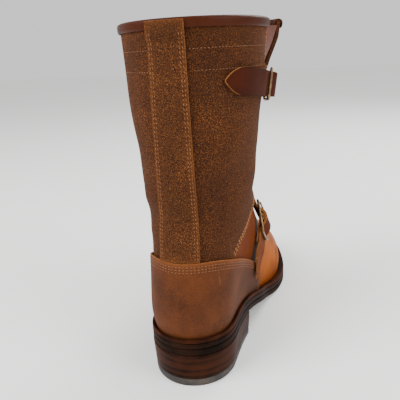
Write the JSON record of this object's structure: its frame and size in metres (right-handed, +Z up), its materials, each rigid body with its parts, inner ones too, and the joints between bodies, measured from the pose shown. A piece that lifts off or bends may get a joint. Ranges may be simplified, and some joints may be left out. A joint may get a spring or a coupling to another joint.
{
  "type": "engineer boot",
  "caption": "Pull-on engineer boot for the right foot, tall shaft with a back strip, outer heel counter, buckled collar and instep straps, welted sole and stacked heel.",
  "frame": {"origin": "middle of the heel's base, on the floor", "axes": "+Y towards the toe, +X towards the outer side of the right foot, +Z up"},
  "size_m": [0.1291, 0.2997, 0.2949],
  "materials": {
    "rubber": "dark oiled rubber, lightly scuffed",
    "stacked_leather": "stacked leather, dressed dark brown, satin",
    "edge_leather": "sole edge dressed dark brown with a grey-green sheen",
    "insole_leather": "bare leather footbed, matt",
    "welt_leather": "reddish brown welt, satin, stitched",
    "upper_leather": "rough-out leather on the shaft, smooth tan vamp",
    "gusset_leather": "soft smooth purple brown leather",
    "counter_leather": "waxed nubuck, clouded brown with a pale cut edge",
    "strip_leather": "rough-out leather with pale raw edges",
    "binding_leather": "smooth reddish brown rolled binding",
    "strap_leather": "dark reddish brown strap, pale cut edges, satin",
    "buckle_metal": "antique bronze, worn bright on the edges"
  },
  "bodies": {
    "root": {"heel_lift": "rubber", "heel_stack": "stacked_leather", "outsole": "rubber", "midsole": "edge_leather", "insole": "insole_leather", "welt": "welt_leather", "upper": "upper_leather", "gusset": "gusset_leather", "counter": "counter_leather", "back_strip": "strip_leather", "collar_binding": "binding_leather", "top_strap": "strap_leather", "top_buckle_tab": "strap_leather", "top_buckle": "buckle_metal", "top_prong": "buckle_metal", "instep_strap": "strap_leather", "instep_buckle_tab": "strap_leather", "instep_buckle": "buckle_metal", "instep_prong": "buckle_metal"}
  },
  "joints": []
}
